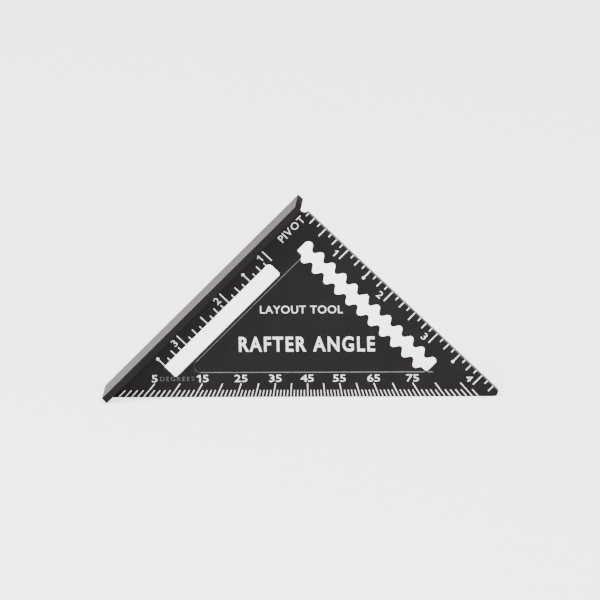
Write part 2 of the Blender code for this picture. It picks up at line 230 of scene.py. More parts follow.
def end_tick_tree(tree, given, points, wanted, place, turn, size):
    """One box on each wanted point, with its own place, turn and size, as real geometry in one material."""
    placed = new_node(tree, "GeometryNodeSetPosition")
    link(tree, points, placed.inputs["Geometry"])
    link(tree, place, placed.inputs["Position"])
    cube = new_node(tree, "GeometryNodeMeshCube")
    stamp = new_node(tree, "GeometryNodeInstanceOnPoints")
    link(tree, placed.outputs["Geometry"], stamp.inputs["Points"])
    link(tree, wanted, stamp.inputs["Selection"])
    link(tree, cube.outputs["Mesh"], stamp.inputs["Instance"])
    link(tree, turn, stamp.inputs["Rotation"])
    link(tree, size, stamp.inputs["Scale"])
    realised = new_node(tree, "GeometryNodeRealizeInstances")
    link(tree, stamp.outputs["Instances"], realised.inputs["Geometry"])
    painted = new_node(tree, "GeometryNodeSetMaterial")
    link(tree, realised.outputs["Geometry"], painted.inputs["Geometry"])
    link(tree, given["Material"], painted.inputs["Material"])
    result = tree.nodes.new("NodeGroupOutput")
    link(tree, painted.outputs["Geometry"], result.inputs["Geometry"])
    return tree


def counted(tree, given):
    """Count points at the origin, and each one's number, starting from First."""
    line = new_node(tree, "GeometryNodeMeshLine")
    link(tree, given["Count"], line.inputs["Count"])
    index = tree.nodes.new("GeometryNodeInputIndex").outputs[0]
    return line.outputs["Mesh"], math_node(tree, "ADD", index, given["First"])


def every(tree, number, step):
    """1 where the number is a multiple of the step, and 0 elsewhere."""
    rest = math_node(tree, "MODULO", number, step)
    return math_node(tree, "LESS_THAN", rest, 0.5)


def inch_tick_tree():
    """A row of inch ticks along +x from the scale's zero, each running from its edge towards -y."""
    floats = ("Spacing", "Width", "Start", "Low", "High")
    floats += ("Eighth", "Quarter", "Half", "Inch", "Skip A", "Skip B")
    inputs = [("First", "NodeSocketInt"), ("Count", "NodeSocketInt")]
    inputs += [(label, "NodeSocketFloat") for label in floats]
    inputs.append(("Material", "NodeSocketMaterial"))
    tree, given = tick_tree("inch_ticks", inputs)
    points, number = counted(tree, given)
    length = given["Eighth"]
    for step, longer, shorter in ((2, "Quarter", "Eighth"), (4, "Half", "Quarter"), (8, "Inch", "Half")):
        gain = math_node(tree, "SUBTRACT", given[longer], given[shorter])
        length = math_node(tree, "ADD", length, math_node(tree, "MULTIPLY", gain, every(tree, number, step)))
    along = math_node(tree, "MULTIPLY", number, given["Spacing"])
    middle = math_node(tree, "MULTIPLY", math_node(tree, "ADD", length, given["Start"]), -0.5)
    height = math_node(tree, "MULTIPLY", math_node(tree, "ADD", given["Low"], given["High"]), 0.5)
    place = combine(tree, along, middle, height)
    span = math_node(tree, "SUBTRACT", length, given["Start"])
    thick = math_node(tree, "SUBTRACT", given["High"], given["Low"])
    size = combine(tree, given["Width"], span, thick)
    near_a = math_node(tree, "COMPARE", number, given["Skip A"])
    near_b = math_node(tree, "COMPARE", number, given["Skip B"])
    wanted = math_node(tree, "SUBTRACT", 1.0, math_node(tree, "MAXIMUM", near_a, near_b))
    return end_tick_tree(tree, given, points, wanted, place, combine(tree), size)


def degree_tick_tree():
    """Degree ticks along the long edge, each aimed at the scales' zero."""
    floats = ("Leg", "Width", "Start", "Short", "Tall", "Low", "High", "Leave Out Fifths")
    inputs = [("First", "NodeSocketInt"), ("Count", "NodeSocketInt")]
    inputs += [(label, "NodeSocketFloat") for label in floats]
    inputs.append(("Material", "NodeSocketMaterial"))
    tree, given = tick_tree("degree_ticks", inputs)
    points, number = counted(tree, given)
    fifth = every(tree, number, 5)
    angle = math_node(tree, "RADIANS", number)
    sine = math_node(tree, "SINE", angle)
    cosine = math_node(tree, "COSINE", angle)
    reach = math_node(tree, "DIVIDE", given["Leg"], math_node(tree, "ADD", sine, cosine))
    gain = math_node(tree, "MULTIPLY", math_node(tree, "SUBTRACT", given["Tall"], given["Short"]), fifth)
    top = math_node(tree, "ADD", given["Short"], gain)
    per_height = math_node(tree, "DIVIDE", SQRT2, given["Leg"])
    middle_height = math_node(tree, "MULTIPLY", math_node(tree, "ADD", top, given["Start"]), 0.5)
    share = math_node(tree, "SUBTRACT", 1.0, math_node(tree, "MULTIPLY", middle_height, per_height))
    away = math_node(tree, "MULTIPLY", reach, share)
    x = math_node(tree, "MULTIPLY", away, sine)
    y = math_node(tree, "MULTIPLY", away, math_node(tree, "MULTIPLY", cosine, -1.0))
    height = math_node(tree, "MULTIPLY", math_node(tree, "ADD", given["Low"], given["High"]), 0.5)
    tall = math_node(tree, "MULTIPLY", math_node(tree, "SUBTRACT", top, given["Start"]), per_height)
    span = math_node(tree, "MULTIPLY", reach, tall)
    thick = math_node(tree, "SUBTRACT", given["High"], given["Low"])
    size = combine(tree, given["Width"], span, thick)
    left_out = math_node(tree, "MULTIPLY", fifth, given["Leave Out Fifths"])
    wanted = math_node(tree, "SUBTRACT", 1.0, left_out)
    place = combine(tree, x, y, height)
    turn = combine(tree, 0, 0, angle)
    return end_tick_tree(tree, given, points, wanted, place, turn, size)


def grown(tree, name, place, **values):
    """The tree's ticks with these inputs, as a plain mesh in the row's place."""
    host = mesh_object(name + "_host", bpy.data.meshes.new(name + "_host"))
    modifier = host.modifiers.new("ticks", "NODES")
    modifier.node_group = tree
    for socket in tree.interface.items_tree:
        if socket.in_out == "INPUT":
            modifier[socket.identifier] = values[socket.name.replace(" ", "_")]
    made = baked(host, name)
    made.data.transform(place)
    return made


# ---------------------------------------------------------------- lettering


def lettering(name, words, height, low, high, matrix, stretch=1.0, boldness=0.0, spacing=1.08):
    """Words in plain capitals, centred on the matrix's origin with their feet on its x axis."""
    size = height / FONT_CAP
    text = bpy.data.curves.new(name, "FONT")
    text.body = words
    text.align_x = "CENTER"
    text.resolution_u = 4
    text.extrude = 0.5
    text.offset = boldness / size
    text.space_character = spacing
    text.fill_mode = "NONE"
    outline = baked(mesh_object(name + "_text", text), name)
    shape = bmesh.new()
    shape.from_mesh(outline.data)
    bmesh.ops.remove_doubles(shape, verts=shape.verts, dist=0.001)
    for side in (-1, 1):
        rim = [edge for edge in shape.edges if edge.is_boundary and edge.verts[0].co.z * side > 0]
        bmesh.ops.triangle_fill(shape, use_beauty=True, edges=rim)
    bmesh.ops.scale(shape, vec=(size * stretch, size, high - low), verts=shape.verts)
    bmesh.ops.translate(shape, vec=(0, 0, (high + low) / 2), verts=shape.verts)
    bmesh.ops.transform(shape, matrix=matrix, verts=shape.verts)
    bmesh.ops.recalc_face_normals(shape, faces=shape.faces)
    shape.to_mesh(outline.data)
    shape.free()
    return outline


def front_place(point, turn):
    """Where lettering stands: a point of the square's plane, turned in degrees from its x axis."""
    return SQUARE @ Matrix.Translation(point) @ Matrix.Rotation(math.radians(turn), 4, "Z")


def join(name, pieces):
    """The pieces as one mesh object. The pieces are removed."""
    shape = bmesh.new()
    for piece in pieces:
        shape.from_mesh(piece.data)
        bpy.data.objects.remove(piece)
    mesh = bpy.data.meshes.new(name)
    shape.to_mesh(mesh)
    shape.free()
    return mesh_object(name, mesh)


# ---------------------------------------------------------------- materials


def shader_group(name, inputs, outputs):
    """A shader group with these sockets, its group input's outputs and its group output's inputs."""
    tree = bpy.data.node_groups.new(name, "ShaderNodeTree")
    for label, kind, value in inputs:
        socket = tree.interface.new_socket(label, in_out="INPUT", socket_type=kind)
        if value is not None:
            socket.default_value = value
    for label, kind in outputs:
        tree.interface.new_socket(label, in_out="OUTPUT", socket_type=kind)
    given = tree.nodes.new("NodeGroupInput").outputs
    result = tree.nodes.new("NodeGroupOutput").inputs
    return tree, given, result


def mottle_group():
    """Slow and fine variation over a coat: a colour, a roughness and a height."""
    tree, given, result = shader_group(
        "coat_mottle",
        [
            ("Vector", "NodeSocketVector", None),
            ("Dark", "NodeSocketColor", (0, 0, 0, 1)),
            ("Light", "NodeSocketColor", (1, 1, 1, 1)),
            ("Patch Scale", "NodeSocketFloat", 60.0),
            ("Grain Scale", "NodeSocketFloat", 2500.0),
            ("Rough Low", "NodeSocketFloat", 0.35),
            ("Rough High", "NodeSocketFloat", 0.55),
        ],
        [("Color", "NodeSocketColor"), ("Roughness", "NodeSocketFloat"), ("Height", "NodeSocketFloat")],
    )
    patches = new_node(tree, "ShaderNodeTexNoise", {"Detail": 4.0, "Roughness": 0.6})
    grain = new_node(tree, "ShaderNodeTexNoise", {"Detail": 3.0, "Roughness": 0.55})
    for texture, scale in ((patches, "Patch Scale"), (grain, "Grain Scale")):
        link(tree, given["Vector"], texture.inputs["Vector"])
        link(tree, given[scale], texture.inputs["Scale"])
    blend = math_node(tree, "MULTIPLY", patches.outputs["Fac"], 0.6)
    blend = math_node(tree, "ADD", blend, math_node(tree, "MULTIPLY", grain.outputs["Fac"], 0.4))
    spread = new_node(tree, "ShaderNodeMapRange", {"From Min": 0.35, "From Max": 0.65})
    link(tree, blend, spread.inputs["Value"])
    colour = new_node(tree, "ShaderNodeMix", data_type="RGBA")
    link(tree, spread.outputs["Result"], colour.inputs["Factor"])
    link(tree, given["Dark"], colour.inputs["A"])
    link(tree, given["Light"], colour.inputs["B"])
    link(tree, colour.outputs["Result"], result["Color"])
    rough = new_node(tree, "ShaderNodeMapRange")
    link(tree, spread.outputs["Result"], rough.inputs["Value"])
    link(tree, given["Rough Low"], rough.inputs["To Min"])
    link(tree, given["Rough High"], rough.inputs["To Max"])
    link(tree, rough.outputs["Result"], result["Roughness"])
    link(tree, grain.outputs["Fac"], result["Height"])
    return tree


def streak_group():
    """Tool marks drawn out along one direction: a mask of fine lines."""
    tree, given, result = shader_group(
        "tool_streaks",
        [
            ("Vector", "NodeSocketVector", None),
            ("Turn", "NodeSocketVector", (0, 0, 0)),
            ("Across", "NodeSocketFloat", 900.0),
            ("Along", "NodeSocketFloat", 12.0),
        ],
        [("Mask", "NodeSocketFloat")],
    )
    turned = new_node(tree, "ShaderNodeVectorRotate", rotation_type="EULER_XYZ")
    link(tree, given["Vector"], turned.inputs["Vector"])
    link(tree, given["Turn"], turned.inputs["Rotation"])
    parts = tree.nodes.new("ShaderNodeSeparateXYZ")
    link(tree, turned.outputs["Vector"], parts.inputs[0])
    scaled = combine(
        tree,
        math_node(tree, "MULTIPLY", parts.outputs[0], given["Along"]),
        math_node(tree, "MULTIPLY", parts.outputs[1], given["Across"]),
        math_node(tree, "MULTIPLY", parts.outputs[2], given["Across"]),
    )
    noise = new_node(tree, "ShaderNodeTexNoise", {"Scale": 1.0, "Detail": 5.0, "Roughness": 0.65})
    link(tree, scaled, noise.inputs["Vector"])
    link(tree, noise.outputs["Fac"], result["Mask"])
    return tree


def painted_highlight_group():
    """A painted highlight mask for a coat: an edge value broken up by fine noise."""
    tree, given, result = shader_group(
        "edge_rub",
        [
            ("Vector", "NodeSocketVector", None),
            ("Edge", "NodeSocketFloat", 0.0),
            ("Grain Scale", "NodeSocketFloat", 900.0),
            ("Softness", "NodeSocketFloat", 0.3),
        ],
        [("Mask", "NodeSocketFloat")],
    )
    noise = new_node(tree, "ShaderNodeTexNoise", {"Detail": 4.0, "Roughness": 0.6})
    link(tree, given["Vector"], noise.inputs["Vector"])
    link(tree, given["Grain Scale"], noise.inputs["Scale"])
    highlight = math_node(tree, "ADD", given["Edge"], math_node(tree, "SUBTRACT", noise.outputs["Fac"], 1.0))
    mask = math_node(tree, "DIVIDE", highlight, given["Softness"])
    clamped = new_node(tree, "ShaderNodeClamp")
    link(tree, mask, clamped.inputs["Value"])
    link(tree, clamped.outputs["Result"], result["Mask"])
    return tree


def material(name, **constants):
    """A material with constants on its Principled shader, its tree, the shader and its object coordinates."""
    made = bpy.data.materials.new(name)
    made.use_nodes = True
    tree = made.node_tree
    shader = tree.nodes["Principled BSDF"]
    for key, value in constants.items():
        shader.inputs[key.replace("_", " ")].default_value = value
    where = tree.nodes.new("ShaderNodeTexCoord").outputs["Object"]
    return made, tree, shader, where


def use_group(tree, group, where, values):
    """The shader group placed in a material, with its own values."""
    made = tree.nodes.new("ShaderNodeGroup")
    made.node_tree = group
    link(tree, where, made.inputs["Vector"])
    for key, value in values.items():
        made.inputs[key].default_value = value
    return made


def bump(tree, height, shader, strength, distance):
    """Raise and lower the shader's surface by a height."""
    made = new_node(tree, "ShaderNodeBump", {"Strength": strength, "Distance": distance})
    link(tree, height, made.inputs["Height"])
    link(tree, made.outputs["Normal"], shader.inputs["Normal"])


def black_coat(mottle, highlight_tree):
    """Satin black coat, mottled, with a painted highlight: lighter where the painted highlight attribute
    says.
    """
    made, tree, shader, where = material("black_coat", Metallic=0.0, Specular_IOR_Level=0.11)
    coat = use_group(
        tree,
        mottle,
        where,
        {
            "Dark": (0.0062, 0.0049, 0.0055, 1),
            "Light": (0.0108, 0.0086, 0.0097, 1),
            "Patch Scale": 70.0,
            "Grain Scale": 2600.0,
            "Rough Low": 0.42,
            "Rough High": 0.6,
        },
    )
    edge = tree.nodes.new("ShaderNodeAttribute")
    edge.attribute_name = "edge_highlight_amount"
    highlight = use_group(tree, highlight_tree, where, {"Grain Scale": 900.0, "Softness": 0.35})
    link(tree, edge.outputs["Fac"], highlight.inputs["Edge"])
    colour = new_node(tree, "ShaderNodeMix", data_type="RGBA")
    # Painted highlight: this lighter colour is mixed into the coat on the panel's sloping sides and rounded
    # edges.
    colour.inputs["B"].default_value = (0.16, 0.15, 0.152, 1)
    link(tree, highlight.outputs["Mask"], colour.inputs["Factor"])
    link(tree, coat.outputs["Color"], colour.inputs["A"])
    link(tree, colour.outputs["Result"], shader.inputs["Base Color"])
    link(tree, coat.outputs["Roughness"], shader.inputs["Roughness"])
    bump(tree, coat.outputs["Height"], shader, 0.25, 0.00006)
    return made


def machined_face(mottle, streaks):
    """The fence's outer face: cut clean after coating, with faint marks along its length."""
    made, tree, shader, where = material("machined_aluminium", Metallic=0.75)
    metal = use_group(
        tree,
        mottle,
        where,
        {
            "Dark": (0.205, 0.18, 0.181, 1),
            "Light": (0.28, 0.247, 0.248, 1),
            "Patch Scale": 45.0,
            "Grain Scale": 1800.0,
            "Rough Low": 0.38,
            "Rough High": 0.52,
        },
    )
    lengthwise = (0, math.radians(45), 0)
    lines = use_group(tree, streaks, where, {"Turn": lengthwise, "Across": 1500.0, "Along": 25.0})
    spread = {"From Min": 0.3, "From Max": 0.7, "To Min": 0.82, "To Max": 1.1}
    shade = new_node(tree, "ShaderNodeMapRange", spread)
    link(tree, lines.outputs["Mask"], shade.inputs["Value"])
    tint = new_node(tree, "ShaderNodeMix", data_type="RGBA", blend_type="MULTIPLY")
    tint.inputs["Factor"].default_value = 1.0
    link(tree, metal.outputs["Color"], tint.inputs["A"])
    link(tree, shade.outputs["Result"], tint.inputs["B"])
    link(tree, tint.outputs["Result"], shader.inputs["Base Color"])
    link(tree, metal.outputs["Roughness"], shader.inputs["Roughness"])
    bump(tree, lines.outputs["Mask"], shader, 0.3, 0.00003)
    return made


def white_paint(mottle, name, dark, light):
    """Matt paint in the engraved marks."""
    made, tree, shader, where = material(name, Metallic=0.0, Specular_IOR_Level=0.35)
    paint = use_group(
        tree,
        mottle,
        where,
        {
            "Dark": dark,
            "Light": light,
            "Patch Scale": 300.0,
            "Grain Scale": 4000.0,
            "Rough Low": 0.45,
            "Rough High": 0.65,
        },
    )
    link(tree, paint.outputs["Color"], shader.inputs["Base Color"])
    link(tree, paint.outputs["Roughness"], shader.inputs["Roughness"])
    bump(tree, paint.outputs["Height"], shader, 0.2, 0.00003)
    return made


MOTTLE = mottle_group()
BLACK = black_coat(MOTTLE, painted_highlight_group())
MACHINED = machined_face(MOTTLE, streak_group())
WHITE = white_paint(MOTTLE, "white_paint", (0.86, 0.86, 0.85, 1), (0.97, 0.97, 0.96, 1))
# The grey fill of the engraved word is a painted highlight: it stands for the light that the word's engraving
# catches.
DEGREES_WORD_HIGHLIGHT = white_paint(MOTTLE, "worn_white_paint", (0.07, 0.066, 0.067, 1), (0.22, 0.21, 0.21, 1))


# ---------------------------------------------------------------- marks: engraved pockets and their paint


INCH_TREE = inch_tick_tree()
DEGREE_TREE = degree_tick_tree()


def layers(back):
    """Pocket and paint levels along the square's z, and the ends at an edge, for one face."""
    pocket = (FACE - POCKET_DEPTH, FACE + OVERCUT)
    paint = (FACE - POCKET_DEPTH, FACE - PAINT_DROP)
    if back:
        pocket, paint = (-pocket[1], -pocket[0]), (-paint[1], -paint[0])
    return (("pocket", pocket, EDGE_CUT), ("paint", paint, EDGE_PAINT))


def inch_ticks(name, low, high, start, lengths, eighths, skips, place):
    """Inch ticks between the first and last of the eighths, leaving out the skipped ones."""
    eighth, quarter, half, inch = lengths
    first, last = eighths
    return grown(
        INCH_TREE,
        name,
        place,
        First=first,
        Count=last - first + 1,
        Spacing=EIGHTH,
        Width=INCH_TICK_WIDTH,
        Start=start,
        Low=low,
        High=high,
        Eighth=eighth,
        Quarter=quarter,
        Half=half,
        Inch=inch,
        Skip_A=float(skips[0]),
        Skip_B=float(skips[1]),
        Material=WHITE,
    )


def degree_ticks(name, low, high, leave_out_fifths):
    """A tick at every degree, or where the frame has the fifths, at every other degree."""
    return grown(
        DEGREE_TREE,
        name,
        SQUARE,
        First=1,
        Count=LAST_DEGREE,
        Leg=LEG,
        Width=DEGREE_TICK_WIDTH,
        Start=DEGREE_TICK_START,
        Short=DEGREE_TICK_TOP,
        Tall=FIFTH_TICK_TOP,
        Low=low,
        High=high,
        Leave_Out_Fifths=leave_out_fifths,
        Material=WHITE,
    )


def turned_to_back(name, nodes, upright, low, high):
    """The frame's numerals of one number, turned about their upright onto the back, where they read true."""
    shape = bmesh.new()
    for node in nodes:
        shape.from_mesh(frame["nodes"][node].data)
    bmesh.ops.remove_doubles(shape, verts=shape.verts, dist=MERGE)
    centre = sum((vert.co for vert in shape.verts), Vector()) / len(shape.verts)
    half_turn = Matrix.Rotation(math.pi, 4, upright)
    centre.y = 0
    place = Matrix.Translation(centre) @ half_turn @ Matrix.Translation(-centre)
    bmesh.ops.transform(shape, matrix=place, verts=shape.verts)
    for vert in shape.verts:
        outer = vert.co.y > FACE - NEAR_FACE
        vert.co.y = -low if outer else -high
    mesh = bpy.data.meshes.new(name)
    shape.to_mesh(mesh)
    shape.free()
    return mesh_object(name, mesh)


def back_numbers(name, low, high):
    """The back's degree and inch numbers, for reading from behind. The levels are along the square's z."""
    made = []
    for degrees in range(5, 80, 10):
        nodes = [node for node in frame["nodes"] if node.startswith(f"degree_number_{degrees:02d}_")]
        made.append(turned_to_back(f"{name}_{degrees}", nodes, Vector((0, 0, 1)), low, high))
    up_fence = SQUARE.to_3x3() @ Vector((0, 1, 0))
    for node in frame["nodes"]:
        if node.startswith("edge_numeral_"):
            made.append(turned_to_back(f"{name}_{node}", [node], up_fence, low, high))
    return made


def front_words(name, low, high):
    """Plain generic wording in the middle of the panel."""
    title = front_place(plane_point(-0.1 * MM, 19.6 * MM), 45)
    size = front_place(plane_point(-2 * MM, 35.8 * MM), 45)
    return [
        lettering(name + "_title", "RAFTER ANGLE", 6.0 * MM, low, high, title, 0.8, 0.2 * MM, 1.2),
        lettering(name + "_size", "LAYOUT TOOL", 3.2 * MM, low, high, size, 1.0, 0.02 * MM),
    ]


def degrees_word(name, low, high):
    """The word between the first two degree numbers, engraved, its grey fill a painted highlight for the
    light its engraving catches.
    """
    place = front_place(plane_point(-53.7 * MM, 7.0 * MM), 45)
    return lettering(name, "DEGREES", 1.8 * MM, low, high, place, 1.1, 0.0, 1.3)


def marks():
    """Every pocket as one cutter, and the paint pieces by name."""
    pockets = []
    paints = {}
    for kind, (low, high), start in layers(back=False):
        span = (low, high, start)
        edge = inch_ticks("edge_" + kind, *span, EDGE_TICKS, EDGE_EIGHTHS, LUMBER_EIGHTHS, SQUARE)
        slot = inch_ticks("slot_" + kind, *span, SLOT_TICKS, SLOT_EIGHTHS, LUMBER_EIGHTHS, SLOT_ROW)
        degrees = degree_ticks("degree_" + kind, low, high, 1.0)
        words = front_words("words_" + kind, low - PANEL_DROP, high - PANEL_DROP * (kind == "paint"))
        faint = degrees_word("faint_" + kind, low + FAINT_LIFT, high - FAINT_DROP * (kind == "paint"))
        if kind == "pocket":
            pockets += [edge, slot, degrees, faint, *words]
        else:
            paints["degrees_word"] = faint
            paints["edge_inch_ticks"] = edge
            paints["slot_inch_ticks"] = slot
            paints["degree_ticks"] = degrees
            paints["panel_wording"] = join("panel_wording", words)
    for kind, (low, high), start in layers(back=True):
        edge = inch_ticks("back_" + kind, low, high, start, EDGE_TICKS, EDGE_EIGHTHS, (-1, -1), SQUARE)
        degrees = degree_ticks("back_degree_" + kind, low, high, 0.0)
        numbers = back_numbers("back_number_" + kind, low, high)
        if kind == "pocket":
            pockets += [edge, degrees, *numbers]
        else:
            paints["back_inch_ticks"] = edge
            paints["back_degree_ticks"] = degrees
            paints["back_numbers"] = join("back_numbers", numbers)
    return join("pockets", pockets), paints


# ---------------------------------------------------------------- the casting


def cad_section(node):
    """The node's outlines where it is cut by the square's mid-plane, in the square's own axes."""
    shape = bmesh.new()
    shape.from_mesh(frame["nodes"][node].data)
    bmesh.ops.remove_doubles(shape, verts=shape.verts, dist=2 * MERGE)
    bmesh.ops.dissolve_limit(shape, angle_limit=STRAIGHT, verts=shape.verts, edges=shape.edges)
    everything = shape.verts[:] + shape.edges[:] + shape.faces[:]
    section = bmesh.ops.bisect_plane(shape, geom=everything, plane_co=(0, 0, 0), plane_no=(0, 1, 0))
    edges = [item for item in section["geom_cut"] if isinstance(item, bmesh.types.BMEdge)]
    outlines = []
    while edges:
        ends = edges.pop().verts
        outline = [ends[0], ends[1]]
        while outline[-1] is not outline[0]:
            ahead = next(edge for edge in edges if outline[-1] in edge.verts)
            edges.remove(ahead)
            outline.append(ahead.other_vert(outline[-1]))
        outlines.append([(SQUARE.inverted() @ vert.co).xy for vert in outline[:-1]])
    shape.free()
    return outlines


def rounded_plate(name, outlines, rounding):
    """A plate of the blade's thickness inside the outlines, with every outer edge rounded."""
    curve = bpy.data.curves.new(name, "CURVE")
    curve.dimensions = "2D"
    curve.fill_mode = "BOTH"
    curve.extrude = FACE - rounding
    curve.bevel_depth = rounding
    curve.bevel_resolution = 2
    curve.offset = -rounding
    for outline in outlines:
        spaced = [point for i, point in enumerate(outline) if (point - outline[i - 1]).length > 2 * MERGE]
        spline = curve.splines.new("POLY")
        spline.points.add(len(spaced) - 1)
        for point, (x, y) in zip(spline.points, spaced):
            point.co = (x, y, 0, 1)
        spline.use_cyclic_u = True
    plate = baked(mesh_object(name + "_curve", curve), name)
    shape = bmesh.new()
    shape.from_mesh(plate.data)
    bmesh.ops.remove_doubles(shape, verts=shape.verts, dist=3 * MERGE)
    bmesh.ops.transform(shape, matrix=SQUARE, verts=shape.verts)
    bmesh.ops.recalc_face_normals(shape, faces=shape.faces)
    shape.to_mesh(plate.data)
    shape.free()
    return plate


def loft(name, rings):
    """A closed shape through rings of as many points each, capped at both ends, in the square's axes."""
    shape = bmesh.new()
    rows = [[shape.verts.new(point) for point in ring] for ring in rings]
    count = len(rows[0])
    for lower, upper in zip(rows, rows[1:]):
        for i in range(count):
            after = (i + 1) % count
            shape.faces.new((lower[i], lower[after], upper[after], upper[i]))
    caps = [shape.faces.new(rows[0]), shape.faces.new(rows[-1])]
    bmesh.ops.triangulate(shape, faces=caps)
    bmesh.ops.transform(shape, matrix=SQUARE, verts=shape.verts)
    bmesh.ops.recalc_face_normals(shape, faces=shape.faces)
    mesh = bpy.data.meshes.new(name)
    shape.to_mesh(mesh)
    shape.free()
    return mesh_object(name, mesh)


def arc(centre, radii, start, end, steps):
    """Points on part of an ellipse, from start to end in degrees."""
    turns = [math.radians(start + (end - start) * i / steps) for i in range(steps + 1)]
    return [(centre[0] + radii[0] * math.cos(t), centre[1] + radii[1] * math.sin(t)) for t in turns]


def panel_ring(grow):
    """The centre panel's outline, grown all round. Its far sides lie inside the notched slot."""
    left = PANEL_LEFT - grow
    inside_slot = -PANEL_TOP
    reach = LEG - (PANEL_BAND - grow) * SQRT2
    radius = PANEL_RADIUS + grow
    across_corner = radius * (1 + SQRT2)
    centre = (left + radius, left - reach + across_corner)
    foot = arc(centre, (radius, radius), 180, 315, 12)
    return [*foot, (reach + inside_slot, inside_slot), (left, inside_slot)]


def panel_cutter(side):
    """Cuts the panel with sloping sides, on the front for side 1 and on the back for side -1."""
    levels = ((FACE - PANEL_DROP, 0), (FACE, PANEL_SLOPE), (FACE + OVERCUT, PANEL_SLOPE + OVERCUT))
    rings = [[(x, y, side * level) for x, y in panel_ring(grow)] for level, grow in levels]
    return loft("panel_cutter", rings)


def paint_pocket(node):
    """The pocket of one of the frame's painted marks: its own outline, stretched down and out of the face."""
    shape = bmesh.new()
    shape.from_mesh(frame["nodes"][node].data)
    bmesh.ops.remove_doubles(shape, verts=shape.verts, dist=MERGE)
    for vert in shape.verts:
        outer = -vert.co.y > FACE - NEAR_FACE
        vert.co.y = -(FACE + OVERCUT) if outer else -(FACE - POCKET_DEPTH)
    mesh = bpy.data.meshes.new(node + "_pocket")
    shape.to_mesh(mesh)
    shape.free()
    return mesh_object(node + "_pocket", mesh)


def cut(piece, cutters):
    """The piece with each cutter taken out of it in turn. The cutters are removed."""
    name = piece.name
    for cutter in cutters:
        carve = piece.modifiers.new(cutter.name, "BOOLEAN")
        carve.object = cutter
        carve.operation = "DIFFERENCE"
        carve.solver = "EXACT"
    finished = baked(piece, name)
    for cutter in cutters:
        bpy.data.objects.remove(cutter)
    return finished


def flatten_levels(piece):
    """Every point that lies near a face's level is put exactly on it."""
    for vert in piece.data.vertices:
        for level in (FACE, FACE - PANEL_DROP):
            if abs(abs(vert.co.y) - level) < 10 * MERGE:
                vert.co.y = math.copysign(level, vert.co.y)


def blade_casting(pockets):
    """The blade with rounded edges, its panels and every pocket."""
    plate = rounded_plate("blade_casting", cad_section("blade"), EDGE_ROUNDING)
    painted = [paint_pocket(node) for node in frame["nodes"] if node not in ("blade", "fence")]
    painted = join("painted_pockets", painted)
    finished = cut(plate, [panel_cutter(1), panel_cutter(-1), painted, pockets])
    flatten_levels(finished)
    return finished


def fence_ring(down, inset, fillet):
    """The fence's section this far down from the square edge, with a fillet on each side of the blade."""
    corner = FENCE_CORNER
    inner, outer, half = INNER_FACE - inset, FENCE_OUTER + inset, FENCE_HALF_WIDTH - inset
    root = INNER_FACE + fillet
    profile = [(inner, FACE * FENCE_ROOT), (root, FACE * FENCE_ROOT)]
    profile += arc((root, FACE + fillet), (root - inner, fillet), 270, 180, 6)
    profile += arc((inner - corner, half - corner), (corner, corner), 0, 90, 4)
    profile += arc((outer + corner, half - corner), (corner, corner), 90, 180, 4)
    profile += [(x, -z) for x, z in reversed(profile)]
    past_edge = down + INNER_FACE - LEG  # the fillet stops at the line of the long edge
    return [(x, -down + max(0, x - INNER_FACE + past_edge) * (x > INNER_FACE), z) for x, z in profile]


def fence_casting():
    """Rounded at both ends. Its fillets begin below the relief at the pivot and stop at the long edge."""
    rounding = FENCE_END_ROUNDING
    shoulder = 0.3 * rounding
    steps = [
        (0, rounding, NO_FILLET),
        (shoulder, shoulder, NO_FILLET),
        (rounding, 0, NO_FILLET),
        (FILLET_START, 0, NO_FILLET),
        (FILLET_HALF, 0, FILLET / 2),
        (FILLET_WHOLE, 0, FILLET),
        (FENCE_LENGTH - 1.0 * MM, 0, FILLET),
        (FENCE_LENGTH - rounding, 0, FILLET),
        (FENCE_LENGTH - shoulder, shoulder, FILLET),
        (FENCE_LENGTH, rounding, FILLET),
    ]
    return loft("fence_casting", [fence_ring(*step) for step in steps])


def smooth(piece):
    """Rounded edges shaded smooth, with every broad flat face left flat."""
    piece.data.shade_smooth()
    piece.data.set_sharp_from_angle(angle=CREASE)
    for polygon in piece.data.polygons:
        if abs(polygon.normal.y) > 0.999 or polygon.area > BROAD_AREA:
            polygon.use_smooth = False


def mark_painted_highlight(piece):
    """Set the painted highlight attribute: high on the panel's sloping sides, lower on rounded edges, 0
    elsewhere.
    """
    mesh = piece.data
    values = np.zeros(len(mesh.polygons))
    for polygon in mesh.polygons:
        slope = abs(polygon.normal.y)
        depth = min(abs(mesh.vertices[i].co.y) for i in polygon.vertices)
        shallow = depth > FACE - PANEL_DROP * 1.05
        if STEP_SLOPE[0] < slope < STEP_SLOPE[1] and shallow and polygon.area > STEP_AREA:
            values[polygon.index] = PANEL_HIGHLIGHT
        elif ROUNDED_SLOPE[0] < slope < ROUNDED_SLOPE[1]:
            values[polygon.index] = EDGE_HIGHLIGHT
    attribute = mesh.attributes.new("edge_highlight_amount", "FLOAT", "FACE")
    attribute.data.foreach_set("value", values)


def dress_fence(piece):
    """Black coat all over, except for the machined outer face."""
    piece.data.materials.append(BLACK)
    piece.data.materials.append(MACHINED)
    outward = Vector((-1, 0, 1)).normalized()
    for polygon in piece.data.polygons:
        polygon.material_index = int(polygon.normal.dot(outward) > 0.99)


def dress_blade(piece):
    """Black coat all over, except for the square edge, which is machined like the fence's outer face."""
    piece.data.materials.clear()
    piece.data.materials.append(BLACK)
    piece.data.materials.append(MACHINED)
    up_fence = (SQUARE.to_3x3() @ Vector((0, 1, 0))).normalized()
    for polygon in piece.data.polygons:
        above = (SQUARE.inverted() @ polygon.center).y
        polygon.material_index = int(polygon.normal.dot(up_fence) > 0.7 and above > -EDGE_WALL)


